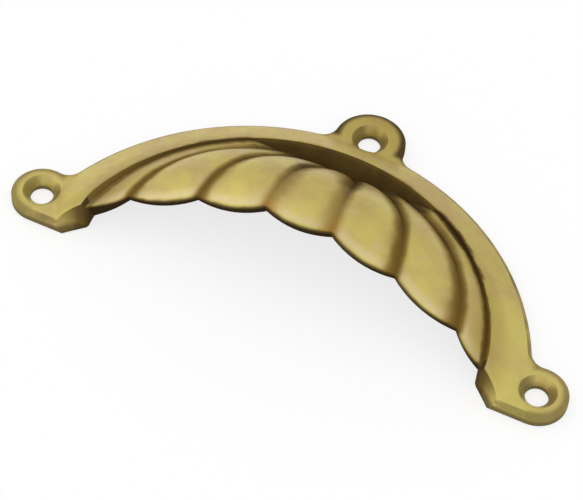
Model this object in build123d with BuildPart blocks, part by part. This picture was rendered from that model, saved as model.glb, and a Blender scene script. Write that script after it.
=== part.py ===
"""Fluted shell pull for a drawer: a single brass casting.

A sloped rim runs round the back of the pull as an arch and carries three screw
ears, one at each foot and one at the top. Inside the rim a hollow shell of seven
rounded flutes swells forward. Its scalloped lip leaves a mouth below for the fingers.

The back lies on z = 0 and the pull projects along +Z. +X runs along its length,
the mouth opens towards -Y, and the origin is midway between the foot screws.
"""
import math
import os

from build123d import *

# Screw holes
hole_spacing = 96.0
top_hole_height = 38.0
hole_radius = 2.1
countersink_radius = 3.4
countersink_angle = 82.0

# Flat plate, which widens into an ear round each screw
plate_thickness = 2.4
plate_edge = 0.8
plate_edge_slope = 45.0
foot_ear_radius = 5.5
top_ear_radius = 6.7
neck_radius = 3.0

# Rim, an arch that slopes up from its outer edge and bends down at its feet
rim_top = 36.4
rim_foot_inset = 1.4
rim_top_width = 6.3
rim_foot_width = 9.0
rim_slope = 31.0
rim_bend_turn = 12.0
rim_bend_radius = 13.0

# Recess inside the rim, left open between the rim and the roots of the middle flutes
recess_floor = 1.2
recess_flare = 25.0
recess_gap = 1.9

# Shell, whose flutes follow half an ellipse on the back
shell_overlap = 1.8
shell_crown = 8.95
shell_projection = 17.7
shell_seat = 0.5
shell_side = 5.2
shell_slope = 1.5
shell_bury = 0.3
shell_end = 25.4
shell_mouth_angle = -8.0
shell_station_count = 9

# Flutes, with their rises as shares of their widths
lobe_count = 7
lobe_end_width = 6.2
lobe_rise_mouth = 0.08
lobe_rise_root = 0.36
lobe_swell = 3.0
lobe_rise_end = 0.07
lobe_shoulder = 0.18
lobe_gather = 1.2

# Hollow behind the shell
cup_overlap = 0.8
cup_root_wall = 2.5
cup_crown_wall = 1.9
cup_shoulder = 0.75
cup_root_angle = 84.0
cup_mouth_angle = -14.0
cup_station_count = 17

# Lip and mouth
lip_height = 4.4
lip_drop = 2.5
lip_tongue = 1.15
lip_end_tongue = 0.5
lip_lean = 26.5
mouth_inset = 0.2
mouth_corner = -2.0

# Inner sides of the feet below the lip
foot_width = 8.2
foot_flare = 30.0
foot_corner = 1.2


def arch_radius(top, half_width):
    """Radius of an arch that is this high and this wide above the foot screws."""
    return (top**2 + half_width**2) / (2 * top)


feet = [(-hole_spacing / 2, 0), (hole_spacing / 2, 0)]
bottom_edge = -foot_ear_radius
rim_half_width = hole_spacing / 2 - rim_foot_inset
rim_radius = arch_radius(rim_top, rim_half_width)
rim_centre = rim_top - rim_radius
rim_shoulder = rim_radius - plate_edge
recess_top = rim_top - rim_top_width
recess_half_width = rim_half_width - rim_foot_width
recess_radius = arch_radius(recess_top, recess_half_width)
recess_centre = recess_top - recess_radius
shell_root = recess_top - recess_gap
shell_half_width = recess_half_width + shell_overlap
lobe_pitch = 2 * (recess_half_width - lobe_end_width) / (lobe_count - 2)
cup_half_width = recess_half_width + cup_overlap
cup_root = shell_root - cup_root_wall
cup_depth = shell_projection - cup_crown_wall
mouth_half_width = recess_half_width - mouth_inset
foot_half_gap = hole_spacing / 2 - foot_width
clear = 2 * rim_radius
groove_shares = [
    lobe_pitch * (i - (lobe_count - 2) / 2) / shell_half_width for i in range(lobe_count - 1)
]


def spread(first, last, count):
    """Evenly spaced values from first to last."""
    return [first + (last - first) * i / (count - 1) for i in range(count)]


def station_plane(along):
    """Upright plane across the pull, with heights as its second direction."""
    return Plane(origin=(0, along, 0), x_dir=(1, 0, 0), z_dir=(0, -1, 0))


def plate_outline(height):
    """Outline of the plate and its three ears at this height."""
    with BuildSketch(Plane.XY.offset(height)) as outline:
        with Locations((0, rim_centre)):
            Circle(rim_radius)
        Rectangle(clear, clear, align=(Align.CENTER, Align.MAX), mode=Mode.SUBTRACT)
        Rectangle(hole_spacing, foot_ear_radius, align=(Align.CENTER, Align.MAX))
        with Locations(*feet):
            Circle(foot_ear_radius)
        with Locations((0, top_hole_height)):
            Circle(top_ear_radius)
        fillet(outline.vertices().filter_by(lambda v: v.Y > 0), neck_radius)
    return outline.sketch


def crown_height(along, root, depth):
    """Height of the middle of the shell, or of its hollow, at this distance above the foot screws."""
    return depth * math.cos(math.pi / 2 * (along - shell_crown) / (root - shell_crown))


def groove_point(along, share):
    """Bottom of a groove on the section at this distance above the foot screws."""
    gather = math.cos(math.asin(along / shell_root)) ** lobe_gather
    crown = shell_seat + crown_height(along, shell_root, shell_projection)
    height = shell_side + (crown - shell_side) * (1 - share**2) ** shell_slope
    return Vector(shell_half_width * gather * share, height)


def flute(start, end, rise):
    """Back of a flute between two grooves, a cubic curve whose handles stand 4/3 of its rise."""
    width = end - start
    lift = Vector(-width.Y, width.X) * (rise * 4 / 3)
    Bezier(start, start + width * lobe_shoulder + lift, end - width * lobe_shoulder + lift, end)


def fluted_section(angle):
    """Section across the shell at this angle of its ellipse, ending inside the rim."""
    along = shell_root * math.sin(math.radians(angle))
    edge = math.sqrt((recess_radius + shell_bury) ** 2 - (along - recess_centre) ** 2)
    rootward = (max(along, 0) / shell_root) ** lobe_swell
    rise = lobe_rise_mouth + (lobe_rise_root - lobe_rise_mouth) * rootward
    rises = [lobe_rise_end] + [rise] * (lobe_count - 2) + [lobe_rise_end]
    points = [Vector(-edge, shell_side)]
    points += [groove_point(along, share) for share in groove_shares]
    points += [Vector(edge, shell_side)]
    with BuildSketch(station_plane(along)) as section:
        with BuildLine():
            for start, end, share in zip(points, points[1:], rises):
                flute(start, end, share)
            Polyline(points[-1], (edge, shell_seat), (-edge, shell_seat), points[0])
        make_face()
    return section.sketch


def cup_section(angle):
    """Section across the hollow behind the shell, a cubic curve whose handles stand 4/3 of its height."""
    turn = math.radians(angle)
    across = cup_half_width * math.cos(turn)
    along = cup_root * math.sin(turn)
    handle = crown_height(along, cup_root, cup_depth) * 4 / 3
    with BuildSketch(station_plane(along)) as section:
        with BuildLine():
            Bezier(
                (-across, -shell_seat),
                (-across * cup_shoulder, handle),
                (across * cup_shoulder, handle),
                (across, -shell_seat),
            )
            Line((across, -shell_seat), (-across, -shell_seat))
        make_face()
    return section.sketch


def on_lip(across, along, height):
    """A point of the pull as the sketch of the mouth sees it, along the lean of the lip."""
    lean = math.radians(lip_lean)
    return Vector(across, along * math.cos(lean) + height * math.sin(lean))


def lip_point(share):
    """Where a groove meets the lip."""
    along = lip_height - lip_drop * (share / groove_shares[-1]) ** 2
    groove = groove_point(along, share)
    return on_lip(groove.X, along, groove.Y)


def foot_gap(along, half_width, flare):
    """Section of the gap between the feet, wider towards the front."""
    front = shell_projection
    front_half_width = half_width + front * math.tan(math.radians(flare))
    with BuildSketch(station_plane(along)) as section:
        with BuildLine():
            Polyline(
                (-half_width, 0),
                (half_width, 0),
                (front_half_width, front),
                (-front_half_width, front),
                (-half_width, 0),
            )
        make_face()
    return section.sketch


with BuildPart() as drawer_pull:
    # Rim turned about the middle of its arch
    foot_turn = math.acos((bottom_edge - rim_centre) / rim_radius)
    foot_plane = Plane(
        origin=(0, rim_centre, 0),
        x_dir=(math.sin(foot_turn), math.cos(foot_turn), 0),
        z_dir=(math.cos(foot_turn), -math.sin(foot_turn), 0),
    )
    slope = math.radians(rim_slope)
    crest = plate_thickness + (rim_shoulder - recess_half_width) * math.tan(slope)
    with BuildSketch(foot_plane):
        with BuildLine():
            Polyline(
                (recess_half_width, crest),
                (rim_shoulder, plate_thickness),
                (rim_shoulder, 0),
                (recess_half_width, 0),
                (recess_half_width, crest),
            )
        make_face()
    revolve(axis=Axis((0, rim_centre, 0), (0, 0, 1)), revolution_arc=2 * math.degrees(foot_turn))

    # Bends that carry the rim's slope down to its feet
    bend_turn = foot_turn - math.radians(rim_bend_turn)
    for side in (-1, 1):
        outward = Vector(side * math.sin(bend_turn), math.cos(bend_turn), 0)
        onward = Vector(side * math.cos(bend_turn), -math.sin(bend_turn), 0)
        downhill = outward * math.cos(slope) - Vector(0, 0, math.sin(slope))
        bend = Plane(
            origin=Vector(0, rim_centre, plate_thickness) + outward * rim_shoulder,
            x_dir=onward,
            z_dir=downhill * -side,
        )
        with BuildSketch(bend):
            with Locations((0, -rim_bend_radius)):
                Rectangle(rim_bend_radius, clear, align=(Align.MIN, Align.MIN))
                Circle(rim_bend_radius, mode=Mode.SUBTRACT)
        extrude(amount=rim_radius, both=True, mode=Mode.SUBTRACT)
    with BuildSketch():
        with Locations((0, bottom_edge)):
            Rectangle(clear, clear, align=(Align.CENTER, Align.MAX))
    extrude(amount=clear, mode=Mode.SUBTRACT)

    # Plate with its ears and a bevelled edge
    bevel_foot = plate_thickness - plate_edge
    extrude(plate_outline(0), amount=bevel_foot)
    extrude(plate_outline(bevel_foot), amount=plate_edge, taper=plate_edge_slope)

    # Recess inside the rim
    flare = math.tan(math.radians(recess_flare))
    with Locations((0, recess_centre, recess_floor)):
        Cone(
            recess_radius - (shell_side - recess_floor) * flare,
            recess_radius + (shell_projection - shell_side) * flare,
            shell_projection - recess_floor,
            align=(Align.CENTER, Align.CENTER, Align.MIN),
            mode=Mode.SUBTRACT,
        )

    # Fluted shell and the hollow behind it
    shell_end_angle = math.degrees(math.asin(shell_end / shell_root))
    shell_angles = spread(shell_end_angle, shell_mouth_angle, shell_station_count)
    loft(sections=[fluted_section(angle) for angle in shell_angles])
    cup_angles = spread(cup_root_angle, cup_mouth_angle, cup_station_count)
    loft(sections=[cup_section(angle) for angle in cup_angles], ruled=True, mode=Mode.SUBTRACT)

    # Mouth, cut square to the leaning lip
    corner = on_lip(mouth_half_width, mouth_corner, shell_side)
    cusps = [Vector(-corner.X, corner.Y)]
    cusps += [lip_point(share) for share in groove_shares]
    cusps += [corner]
    tongues = [lip_end_tongue] + [lip_tongue] * (lobe_count - 2) + [lip_end_tongue]
    with BuildSketch(Plane.XY.rotated((lip_lean, 0, 0))):
        with BuildLine():
            for start, end, tongue in zip(cusps, cusps[1:], tongues):
                SagittaArc(start, end, -tongue)
            Polyline(corner, (corner.X, -clear), (-corner.X, -clear), cusps[0])
        make_face()
    extrude(amount=clear, both=True, mode=Mode.SUBTRACT)

    # Gap between the feet
    upper_gap = foot_gap(mouth_corner, mouth_half_width, 0)
    lower_gap = foot_gap(bottom_edge + foot_corner, foot_half_gap, foot_flare)
    corner_gap = foot_gap(bottom_edge, foot_half_gap + foot_corner, foot_flare)
    loft(sections=[upper_gap, lower_gap, corner_gap], ruled=True, mode=Mode.SUBTRACT)

    # Countersunk screw holes
    with Locations(Plane.XY.offset(plate_thickness)):
        with Locations(*feet, (0, top_hole_height)):
            CounterSinkHole(
                radius=hole_radius,
                counter_sink_radius=countersink_radius,
                depth=clear,
                counter_sink_angle=countersink_angle,
            )

drawer_pull.part.label = "drawer_pull"

os.makedirs("parts", exist_ok=True)
export_step(drawer_pull.part, "parts/drawer_pull.step")
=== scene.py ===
"""Looks of the cast drawer pull: patinated satin brass with painted shade and a painted highlight, on
a pale floor, in plain studio light.
"""
import math
from functools import reduce

import bmesh
import bpy
from mathutils import Matrix, Vector
from mathutils.kdtree import KDTree

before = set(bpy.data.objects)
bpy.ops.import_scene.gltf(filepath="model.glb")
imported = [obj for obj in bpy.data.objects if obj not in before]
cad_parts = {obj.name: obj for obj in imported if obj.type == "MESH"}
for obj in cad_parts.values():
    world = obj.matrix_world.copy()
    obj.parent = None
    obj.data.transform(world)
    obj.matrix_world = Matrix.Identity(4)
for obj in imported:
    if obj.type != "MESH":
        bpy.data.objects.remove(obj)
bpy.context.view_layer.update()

# Camera
AIM = Vector((-0.00062, 0.00421, 0.0080))
AZIMUTH, ELEVATION, ROLL = 21.25, 53.0, 4.63
DISTANCE = 0.3765
LENS = 133.5
SENSOR_WIDTH = 36.0
CLIP_START = 0.01

# Lamps: azimuth, elevation, distance, size and power
KEY_LAMP = (-75, 38, 0.8, 0.9, 0.6)
FILL_LAMP = (60, 40, 0.8, 0.8, 0.3)

# Floor and sky, brighter where they are seen than as a light on the pull
FLOOR_HALF = 6.0
FLOOR_HEIGHT = -0.0003
FLOOR_COLOUR = (0.42, 0.42, 0.42, 1)
FLOOR_GLOW = 0.76
SKY_LIGHT, SKY_SEEN = 0.62, 1.0

# Brass colours, linear, with those of the painted highlight and the painted shade
BRASS_LIGHT = (0.70, 0.595, 0.172, 1)
BRASS_DEEP = (0.62, 0.475, 0.176, 1)
ROSE = (0.70, 0.53, 0.270, 1)
# Painted highlight beside the lip's edge
LIP_HIGHLIGHT = (0.78, 0.64, 0.330, 1)
BLUSH = (0.62, 0.34, 0.070, 1)
AMBER_SHADE = (0.30, 0.18, 0.035, 1)
BROWN_SHADE = (0.27, 0.160, 0.028, 1)
PATINA_AND_SHADE = (0.090, 0.052, 0.024, 1)
RAW_AND_SHADED = (0.070, 0.040, 0.017, 1)

# Places on the casting, metres
HOLES = ((-0.048, 0.0), (0.048, 0.0), (0.0, 0.038))
EAR_RADII = (0.0055, 0.0055, 0.0067)
SINK_REACH = 0.0035
PLATE_EDGE = 0.0016
PLATE_TOP = 0.0024
RIM_CENTRE = -0.01163
RIM_INSIDE, RIM_OUTSIDE = 0.0475, 0.0490
RECESS_CENTRE = -0.00843
RECESS_REACH = 0.0396
RECESS_EDGE = 0.0366
RECESS_WALL = 0.0345
RECESS_FLOOR = 0.0014
GROOVE_REACH = 0.0365
LIP_BACK = 0.008
LIP_FOOT = 0.003
LEG_TOP = -0.0005
LEG_IN = 0.0373
LEG_OUT = 0.0435

# Parts of a unit normal that tell the faces apart
UNDERSIDE = -0.05
RECESS_INWARD = -0.5
SHELL_END = 0.95
LEG_INWARD = -0.3
SINK_STEEP = 0.9
BEVEL_LOW, BEVEL_HIGH = 0.6, 0.8

# Creases are edges that turn in by more than this angle, sampled at this step
CREASE_ANGLE = 0.2
CREASE_STEP = 0.0003
WELD = 1e-6

# How much longer a distance counts on a groove's side away from the middle of the pull, so that the
# grooves' painted shade lies mostly on their flank towards the middle
OUTER_SIDE = 2.2

# Noises: scale and detail, with one roughness, and the middle of their range
CLOUD = (110, 4)
BLOTCH = (260, 3)
SPECK = (900, 2)
NOISE_ROUGHNESS = 0.55
MIDDLE = (0.3, 0.7)

# Marks that fade with distance or height: start and end, metres, and the share up to the start
GROOVE_LINE = (0.0, 0.0012, 1.0)
GROOVE_BAND = (0.0007, 0.0030, 0.85)
GROOVE_HALO = (0.0010, 0.0046, 0.4)
GROOVE_BLUSH = (0.0, 0.0030, 0.8)
SEAM_LINE = (0.0001, 0.0012, 1.0)
SEAM_FRINGE = (0.0003, 0.0013, 0.95)
SEAM_HALO = (0.0010, 0.0058, 0.4)
WEDGE = (-0.0015, 0.0012, 0.85)
LIP_EDGE = (0.0001, 0.0008, 0.85)
LIP_BLUSH = (0.0010, 0.0040, 1.0)
LIP_HIGHLIGHT_END = (0.0012, 0.0030, 1.0)
LOW_SIDE = (0.0008, 0.0023, 0.6)

# Changes with place or distance: start and end, metres, and the values there
ROOT = (0.004, 0.025, 0.0, 1.0)
ASIDE = (0.006, 0.018, 0.0, 1.0)
# Painted shade grows towards the right, away from the key lamp
RIGHTWARD = (-0.03, 0.03, 0.5, 1.0)
RIGHT_GROOVES = (0.017, 0.024, 1.0, 0.8)
WEDGE_REACH = (0.003, 0.017, -0.0010, 0.0016)
LEG_SHADE = (-0.0036, -0.0016, 0.0, 0.8)
LEG_BROWN_SHADE = (-0.0052, -0.0020, 0.25, 0.8)
EAR_RING = (-0.0018, -0.0005, 0.0, 1.0)
EAR_HEIGHT = (0.02, 0.035, 0.45, 0.85)
RIM_SHADE = (0.034, 0.040, 0.35, 0.55)
LIP_HIGHLIGHT_START = (0.0006, 0.0011, 0.0, 0.8)

# Values at the lip and at the roots of the flutes
ROOT_NARROWS = (1.0, 0.55)
ROOT_LINE = (0.2, 0.95)
ROOT_SEAM = (0.25, 0.95)
ROOT_RECESS = (0.05, 0.5)

# Values in the weakest and the strongest patches
RAGGED = (-0.0003, 0.0003)
RECESS_PATCHES = (0.7, 1.2)
SINK_PATCHES = (0.7, 1.1)
BEVEL_PATCHES = (0.3, 0.5)
CLOUD_PATCHES = (0.35, 0.65)
ROSE_PATCHES = (0.56, 0.75, 0.0, 0.6)

# Other shares of the marks
BAND_SHARE = (0.4, 1.0)
POCKET_SPLAY = 0.7
LIP_RAGGED = 0.3
SINK_FLANK = (0.2, 0.65, 0.05, 0.45)
SINK_LOW = (1.0, 0.2)
SHELL_SHADE = (0.5, 0.0)
WALL_SHADE = 0.75
RAW_AND_SHADED_SHARE = 0.95
HOLLOW = (0.25, 0.65, 0.4)
HOLLOW_REACH = 0.006
HOLLOW_SAMPLES = 16

# Surface of the metal
ROUGHNESS = (0.36, 0.46)
MARK_ROUGHNESS = 0.2
GRAIN_STRENGTH = 0.12
GRAIN_DEPTH = 0.0002
EDGE_RADIUS = 0.0015
EDGE_SAMPLES = 8

# Sockets that carry the colours of a Mix node
MIX_FIRST, MIX_SECOND, MIX_RESULT = 6, 7, 2


def direction(azimuth, elevation):
    """Unit vector from the pull towards something seen at this azimuth and elevation."""
    a, e = math.radians(azimuth), math.radians(elevation)
    return Vector((math.sin(a) * math.cos(e), -math.cos(a) * math.cos(e), math.sin(e)))


def recess_distance(point):
    """Distance of a point from the middle of the recess, seen from the front."""
    return math.hypot(point.x, point.y - RECESS_CENTRE)


def along(edge):
    """Points along an edge."""
    start, end = (v.co for v in edge.verts)
    count = max(1, math.ceil((end - start).length / CREASE_STEP))
    return [start.lerp(end, i / count) for i in range(count + 1)]


def runs(edges):
    """Edges sorted into runs that hang together."""
    waiting = dict.fromkeys(edges)
    while waiting:
        reached, run = [waiting.popitem()[0]], []
        while reached:
            edge = reached.pop()
            run.append(edge)
            touching = [e for v in edge.verts for e in v.link_edges if e in waiting]
            for other in touching:
                waiting.pop(other, None)
            reached.extend(touching)
        yield run


def edge_points(mesh):
    """Points along each groove, along the seam of shell and recess, and along the edge of the lip."""
    shape = bmesh.new()
    shape.from_mesh(mesh)
    bmesh.ops.remove_doubles(shape, verts=shape.verts, dist=WELD)
    creases, seam, lip = [], [], []
    for edge in shape.edges:
        start, end = (v.co for v in edge.verts)
        out = recess_distance(start.lerp(end, 0.5))
        if len(edge.link_faces) != 2 or out > RECESS_REACH:
            continue
        under = sum(face.normal.z < UNDERSIDE for face in edge.link_faces)
        angle = edge.calc_face_angle_signed()
        if under == 0 and angle < -CREASE_ANGLE and out < GROOVE_REACH:
            creases.append(edge)
        if under == 0 and angle < -CREASE_ANGLE and out >= GROOVE_REACH:
            seam += along(edge)
        if under == 1 and angle > CREASE_ANGLE and start.y < LIP_BACK and start.z > LIP_FOOT:
            lip += along(edge)
    grooves = [[point for edge in run for point in along(edge)] for run in runs(creases)]
    shape.free()
    return grooves, seam, lip


def nearest(mesh, points):
    """Each corner of the mesh, with the nearest of the points and the distance to it."""
    tree = KDTree(len(points))
    for i, point in enumerate(points):
        tree.insert(point, i)
    tree.balance()
    for corner in mesh.vertices:
        point, _, distance = tree.find(corner.co)
        yield corner.co, point, distance


def distances(mesh, points):
    """Distance from each corner of the mesh to the nearest of the points."""
    return [distance for _, _, distance in nearest(mesh, points)]


def groove_distances(mesh, grooves, outer_side):
    """Distance to the nearest groove, counted longer on its side away from the middle of the pull."""
    least = [math.inf] * len(mesh.vertices)
    for points in grooves:
        for i, (corner, point, distance) in enumerate(nearest(mesh, points)):
            side = 1.0 if abs(corner.x) < abs(point.x) else outer_side
            least[i] = min(least[i], side * distance)
    return least


def keep(mesh, name, domain, values):
    """Keeps a value for each corner or face of the mesh."""
    kept = mesh.attributes.new(name, "FLOAT", domain)
    kept.data.foreach_set("value", values)


def raw_and_shaded_underside(centre, normal):
    """Undersides, apart from the inner sides of the feet: rough cast metal, darkened further with
    painted shade where they face down.
    """
    return normal.z < UNDERSIDE and not on_leg(centre, normal)


def in_recess(centre, normal):
    """Wall and floor of the recess, and the end of the shell that stands in it."""
    out = recess_distance(centre)
    if out > RECESS_REACH or normal.z < UNDERSIDE:
        return False
    outward = (normal.x * centre.x + normal.y * (centre.y - RECESS_CENTRE)) / out
    on_wall = outward < RECESS_INWARD and out > RECESS_WALL
    return on_wall or centre.z < RECESS_FLOOR or normal.y > SHELL_END


def on_leg(centre, normal):
    """Inner sides of the two feet below the lip."""
    inward = normal.x * math.copysign(1, centre.x) < LEG_INWARD
    return inward and centre.y < LEG_TOP and LEG_IN < abs(centre.x) < LEG_OUT


def near_hole(point):
    """Whether a point lies within a countersink, seen from the front."""
    return any(math.dist(point.xy, hole) < SINK_REACH for hole in HOLES)


def in_countersink(centre, normal):
    """Sloping sides of the countersinks."""
    return near_hole(centre) and 0 < normal.z < SINK_STEEP


def on_plate_edge(centre, normal):
    """Bevelled edge of the plate."""
    sloped = PLATE_EDGE < centre.z < PLATE_TOP and BEVEL_LOW < normal.z < BEVEL_HIGH
    return sloped and recess_distance(centre) > RECESS_REACH and not near_hole(centre)


def mark_casting(mesh):
    """Marks what the patina, the painted shade and the painted highlight follow: distances from
    creases and lip, and kinds of face.
    """
    grooves, seam, lip = edge_points(mesh)
    keep(mesh, "groove", "POINT", groove_distances(mesh, grooves, OUTER_SIDE))
    keep(mesh, "crease", "POINT", groove_distances(mesh, grooves, 1.0))
    keep(mesh, "seam", "POINT", distances(mesh, seam))
    keep(mesh, "lip", "POINT", distances(mesh, lip))
    kinds = {
        "raw_and_shaded": raw_and_shaded_underside,
        "recess": in_recess,
        "leg": on_leg,
        "sink": in_countersink,
        "bevel": on_plate_edge,
    }
    for name, wanted in kinds.items():
        keep(mesh, name, "FACE", [float(wanted(p.center, p.normal)) for p in mesh.polygons])


class Tree:
    """Short names for building a node tree."""

    def __init__(self, tree):
        self.tree = tree
        tree.nodes.clear()

    def node(self, kind, **values):
        made = self.tree.nodes.new("ShaderNode" + kind)
        for name, value in values.items():
            setattr(made, name, value)
        return made

    def link(self, output, socket):
        self.tree.links.new(output, socket)

    def feed(self, value, socket):
        """Sets a socket to a number or colour, or links it to an output."""
        if isinstance(value, (int, float, tuple)):
            socket.default_value = value
        else:
            self.link(value, socket)

    def attribute(self, name):
        return self.node("Attribute", attribute_name=name).outputs["Fac"]

    def axes(self, vector):
        """X, Y and Z of a vector."""
        made = self.node("SeparateXYZ")
        self.link(vector, made.inputs[0])
        return tuple(made.outputs)

    def noise(self, place, scale, detail):
        made = self.node("TexNoise")
        made.inputs["Scale"].default_value = scale
        made.inputs["Detail"].default_value = detail
        made.inputs["Roughness"].default_value = NOISE_ROUGHNESS
        self.link(place, made.inputs["Vector"])
        return made.outputs["Fac"]

    def span(self, value, low, high, to_low=0.0, to_high=1.0):
        """Goes smoothly from to_low to to_high as the value goes from low to high."""
        made = self.node("MapRange", interpolation_type="SMOOTHSTEP")
        made.inputs["From Min"].default_value = low
        made.inputs["From Max"].default_value = high
        made.inputs["To Min"].default_value = to_low
        made.inputs["To Max"].default_value = to_high
        self.link(value, made.inputs["Value"])
        return made.outputs["Result"]

    def fade(self, value, start, end, share):
        """The share up to start, and nothing from end on."""
        return self.span(value, start, end, share, 0.0)

    def between(self, value, first, second):
        """Goes smoothly from first to second as the value goes from 0 to 1."""
        return self.span(value, 0.0, 1.0, first, second)

    def mix(self, share, first, second):
        made = self.node("Mix", data_type="RGBA")
        self.link(share, made.inputs["Factor"])
        self.feed(first, made.inputs[MIX_FIRST])
        self.feed(second, made.inputs[MIX_SECOND])
        return made.outputs[MIX_RESULT]

    def maths(self, operation, *values):
        made = self.node("Math", operation=operation)
        for value, socket in zip(values, made.inputs):
            self.feed(value, socket)
        return made.outputs[0]

    def chain(self, operation, values):
        """All the values taken together by one operation, from the first to the last."""
        return reduce(lambda first, second: self.maths(operation, first, second), values)

    def plus(self, *values):
        return self.chain("ADD", values)

    def times(self, *values):
        return self.chain("MULTIPLY", values)

    def most(self, *values):
        return self.chain("MAXIMUM", values)

    def least(self, *values):
        return self.chain("MINIMUM", values)


class Brass(Tree):
    """Node tree of the brass, with the places and distances that its patina, painted shade and
    painted highlight follow.
    """

    def __init__(self, tree):
        super().__init__(tree)
        self.place = self.node("TexCoord").outputs["Object"]
        self.x, self.y, self.z = self.axes(self.place)
        self.sideways = self.maths("ABSOLUTE", self.x)
        self.cloud = self.noise(self.place, *CLOUD)
        self.blotch = self.noise(self.place, *BLOTCH)
        self.speck = self.noise(self.place, *SPECK)
        self.root = self.span(self.y, *ROOT)
        # Share of painted shade that grows towards the right, away from the key lamp
        self.rightward = self.span(self.x, *RIGHTWARD)

        # Distances from the creases and the lip, with ragged outlines
        ragged = self.patchy(*RAGGED)
        # Painted shade of the grooves reaches wider near the roots and on the far right, away from
        # the key lamp
        narrows = self.between(self.root, *ROOT_NARROWS)
        widen = self.times(narrows, self.span(self.x, *RIGHT_GROOVES))
        self.groove = self.times(self.plus(self.attribute("groove"), ragged), widen)
        self.crease = self.plus(self.attribute("crease"), ragged)
        self.seam = self.plus(self.attribute("seam"), ragged)
        self.lip = self.plus(self.attribute("lip"), self.times(ragged, LIP_RAGGED))

        # Kinds of face that more than one mark uses
        self.recess = self.attribute("recess")
        self.leg = self.attribute("leg")

    def patchy(self, weakest, strongest):
        """Varies from patch to patch."""
        return self.span(self.blotch, *MIDDLE, weakest, strongest)

    def away(self, x, y):
        """Distance from a point on the front of the plate."""
        made = self.node("VectorMath", operation="DISTANCE")
        self.link(self.place, made.inputs[0])
        made.inputs[1].default_value = (x, y, PLATE_TOP)
        return made.outputs["Value"]


def crease_shade(t):
    """Painted shade, with some patina: dark lines in the grooves, and in the seam more on the right,
    away from the key lamp, and a dark wedge between the roots of the flutes.
    """
    line = t.times(t.fade(t.groove, *GROOVE_LINE), t.between(t.root, *ROOT_LINE))
    joint = t.times(t.fade(t.seam, *SEAM_LINE), t.between(t.root, *ROOT_SEAM), t.rightward)
    pocket = t.maths("SUBTRACT", t.y, t.times(t.sideways, POCKET_SPLAY))
    beside = t.maths("SUBTRACT", t.crease, t.span(pocket, *WEDGE_REACH))
    return t.most(line, joint, t.fade(beside, *WEDGE))


def hollow_shade(t):
    """Painted shade: dark in the hollows by ambient occlusion and on the left and right slopes of the
    countersinks; dark patina with painted shade in the recess; darker low on the plate's sides.
    """
    recess = t.times(t.recess, t.between(t.root, *ROOT_RECESS), t.patchy(*RECESS_PATCHES))
    # Painted shade where ambient occlusion finds surfaces close by
    hollow = t.node("AmbientOcclusion", samples=HOLLOW_SAMPLES)
    hollow.inputs["Distance"].default_value = HOLLOW_REACH
    deep = t.fade(hollow.outputs["AO"], *HOLLOW)
    cone = t.attribute("sink")
    low = t.times(t.fade(t.z, *LOW_SIDE), t.between(cone, *SINK_LOW))
    # Painted shade on the countersinks' left and right slopes
    across = t.axes(t.node("NewGeometry").outputs["Normal"])[0]
    flank = t.span(t.maths("ABSOLUTE", across), *SINK_FLANK)
    sink = t.times(cone, flank, t.patchy(*SINK_PATCHES))
    return t.most(recess, deep, low, sink)


def ear_edges(t):
    """Painted shade on the edges of the ears outside the rim, darkest on the top ear."""
    ears = zip(HOLES, EAR_RADII)
    beyond = [t.maths("SUBTRACT", t.away(*hole), radius) for hole, radius in ears]
    ring = t.times(t.span(t.least(*beyond), *EAR_RING), t.span(t.y, *EAR_HEIGHT))
    return t.times(ring, t.span(t.away(0.0, RIM_CENTRE), RIM_INSIDE, RIM_OUTSIDE))


def edge_shade(t):
    """Painted shade on the plate's bevel, along the edge of the lip, on the edges of the ears and
    high on the feet's inner sides.
    """
    bevel = t.times(t.attribute("bevel"), t.patchy(*BEVEL_PATCHES))
    foot = t.times(t.leg, t.span(t.y, *LEG_SHADE))
    return t.most(bevel, t.fade(t.lip, *LIP_EDGE), foot, ear_edges(t))


def brown_shading(t):
    """Brown painted shade beside the grooves, beside the seam more on the right, on the inner sides
    of the feet, and in the recess, there with patina.
    """
    aside = t.most(t.root, t.span(t.sideways, *ASIDE))
    band = t.times(t.fade(t.groove, *GROOVE_BAND), t.between(aside, *BAND_SHARE))
    fringe = t.times(t.fade(t.seam, *SEAM_FRINGE), t.rightward)
    foot = t.times(t.leg, t.span(t.y, *LEG_BROWN_SHADE))
    return t.most(band, fringe, foot, t.times(t.recess, WALL_SHADE))


def amber_shade(t):
    """Amber painted shade round the creases, on the roots of the flutes and on the upper right of the
    rim.
    """
    halo = t.most(t.fade(t.groove, *GROOVE_HALO), t.fade(t.seam, *SEAM_HALO))
    outer = t.span(t.away(0.0, RECESS_CENTRE), RECESS_EDGE, RECESS_REACH)
    shell = t.times(t.root, t.between(outer, *SHELL_SHADE))
    rim = t.times(t.root, outer, t.rightward, t.span(t.y, *RIM_SHADE))
    return t.most(halo, shell, rim)


def lip_highlight(t):
    """Painted highlight beside the dark edge of the lip, where a rounded lip would catch the light.
    """
    return t.times(t.span(t.lip, *LIP_HIGHLIGHT_START), t.fade(t.lip, *LIP_HIGHLIGHT_END))


def groove_ends(t):
    """Orange where the grooves end at the lip."""
    return t.times(t.fade(t.groove, *GROOVE_BLUSH), t.fade(t.lip, *LIP_BLUSH))


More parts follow.
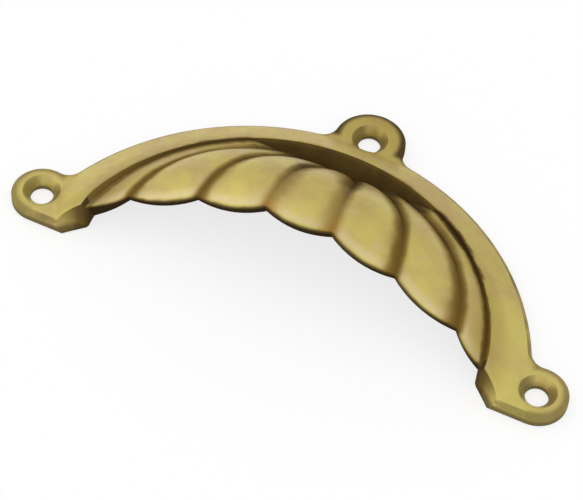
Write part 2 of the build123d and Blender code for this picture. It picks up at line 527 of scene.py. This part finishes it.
def brass_colour(t, brown_shade, dirt_and_shade, raw_and_shaded):
    """Colour of the metal, with each mark laid over the ones before it: patina, painted highlight and
    painted shade.
    """
    colour = t.mix(t.span(t.cloud, *CLOUD_PATCHES), BRASS_LIGHT, BRASS_DEEP)
    colour = t.mix(t.span(t.blotch, *ROSE_PATCHES), colour, ROSE)
    # Painted highlight along the lip
    colour = t.mix(lip_highlight(t), colour, LIP_HIGHLIGHT)
    # Amber painted shade round the creases, roots and right of the rim
    colour = t.mix(amber_shade(t), colour, AMBER_SHADE)
    colour = t.mix(groove_ends(t), colour, BLUSH)
    # Brown painted shade beside the creases, in the recess and on the feet's inner sides
    colour = t.mix(brown_shade, colour, BROWN_SHADE)
    # Dark patina and painted shade in the creases, the hollows and along the edges
    colour = t.mix(dirt_and_shade, colour, PATINA_AND_SHADE)
    # Raw cast metal with painted shade on the undersides
    return t.mix(raw_and_shaded, colour, RAW_AND_SHADED)


def cast_surface(t):
    """Normals with softened edges and a fine grain."""
    edges = t.node("Bevel", samples=EDGE_SAMPLES)
    edges.inputs["Radius"].default_value = EDGE_RADIUS
    grain = t.node("Bump")
    grain.inputs["Strength"].default_value = GRAIN_STRENGTH
    grain.inputs["Distance"].default_value = GRAIN_DEPTH
    t.link(t.speck, grain.inputs["Height"])
    t.link(edges.outputs["Normal"], grain.inputs["Normal"])
    return grain.outputs["Normal"]


def satin_brass():
    """Satin brass, whose marks of patina and painted shade are dull where the metal around them
    shines.
    """
    material = bpy.data.materials.new("satin_brass")
    material.use_nodes = True
    t = Brass(material.node_tree)
    dirt_and_shade = t.most(crease_shade(t), hollow_shade(t), edge_shade(t))
    brown_shade = brown_shading(t)
    # Raw cast undersides, darkened with painted shade
    raw_and_shaded = t.times(t.attribute("raw_and_shaded"), RAW_AND_SHADED_SHARE)
    # Patina and painted shade together, duller and less metallic
    grime_and_shade = t.most(dirt_and_shade, brown_shade, raw_and_shaded)
    rough = t.plus(t.span(t.speck, *MIDDLE, *ROUGHNESS), t.times(grime_and_shade, MARK_ROUGHNESS))

    surface = t.node("BsdfPrincipled")
    surface.inputs["Specular IOR Level"].default_value = 0.0
    t.link(brass_colour(t, brown_shade, dirt_and_shade, raw_and_shaded), surface.inputs["Base Color"])
    t.link(t.between(grime_and_shade, 1.0, 0.0), surface.inputs["Metallic"])
    t.link(rough, surface.inputs["Roughness"])
    t.link(cast_surface(t), surface.inputs["Normal"])
    t.link(surface.outputs["BSDF"], t.node("OutputMaterial").inputs["Surface"])
    return material


def seen(t):
    """1 where the camera, a reflection or a view through something meets the surface, else 0."""
    ray = t.node("LightPath").outputs
    total = t.plus(ray["Is Camera Ray"], ray["Is Glossy Ray"], ray["Is Transmission Ray"])
    return t.least(total, 1.0)


def pale_floor():
    """Pale paper that keeps the pull's shadow."""
    material = bpy.data.materials.new("pale_floor")
    material.use_nodes = True
    t = Tree(material.node_tree)
    paper = t.node("BsdfDiffuse")
    paper.inputs["Color"].default_value = FLOOR_COLOUR
    glow = t.node("Emission")
    t.link(t.times(seen(t), FLOOR_GLOW), glow.inputs["Strength"])
    both = t.node("AddShader")
    t.link(paper.outputs[0], both.inputs[0])
    t.link(glow.outputs[0], both.inputs[1])
    t.link(both.outputs[0], t.node("OutputMaterial").inputs["Surface"])
    return material


def floor():
    """Square of floor just under the pull."""
    corners = [(x * FLOOR_HALF, y * FLOOR_HALF, 0) for x, y in ((-1, -1), (1, -1), (1, 1), (-1, 1))]
    mesh = bpy.data.meshes.new("floor")
    mesh.from_pydata(corners, [], [(0, 1, 2, 3)])
    made = bpy.data.objects.new("floor", mesh)
    made.location.z = FLOOR_HEIGHT
    mesh.materials.append(pale_floor())
    bpy.context.scene.collection.objects.link(made)


def sky():
    """Even light from all round."""
    world = bpy.data.worlds.new("studio")
    bpy.context.scene.world = world
    world.use_nodes = True
    t = Tree(world.node_tree)
    back = t.node("Background")
    t.link(t.between(seen(t), SKY_LIGHT, SKY_SEEN), back.inputs["Strength"])
    t.link(back.outputs[0], t.node("OutputWorld").inputs["Surface"])


def lamp(name, azimuth, elevation, distance, size, power):
    """Round soft lamp that faces the pull."""
    data = bpy.data.lights.new(name, "AREA")
    data.shape = "DISK"
    data.size = size
    data.energy = power
    made = bpy.data.objects.new(name, data)
    way = direction(azimuth, elevation)
    made.location = AIM + distance * way
    made.rotation_euler = way.to_track_quat("Z", "Y").to_euler()
    bpy.context.scene.collection.objects.link(made)


def camera():
    """Camera at the photograph's viewing angle."""
    data = bpy.data.cameras.new("camera")
    data.lens = LENS
    data.sensor_width = SENSOR_WIDTH
    data.sensor_fit = "HORIZONTAL"
    data.clip_start = CLIP_START
    made = bpy.data.objects.new("camera", data)
    way = direction(AZIMUTH, ELEVATION)
    made.matrix_world = (
        Matrix.Translation(AIM + DISTANCE * way)
        @ way.to_track_quat("Z", "Y").to_matrix().to_4x4()
        @ Matrix.Rotation(math.radians(ROLL), 4, "Z")
    )
    bpy.context.scene.collection.objects.link(made)
    bpy.context.scene.camera = made


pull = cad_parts["drawer_pull"]
mark_casting(pull.data)
pull.data.materials.clear()
pull.data.materials.append(satin_brass())

floor()
sky()
lamp("key", *KEY_LAMP)
lamp("fill", *FILL_LAMP)
camera()
bpy.context.scene.view_settings.view_transform = "Standard"
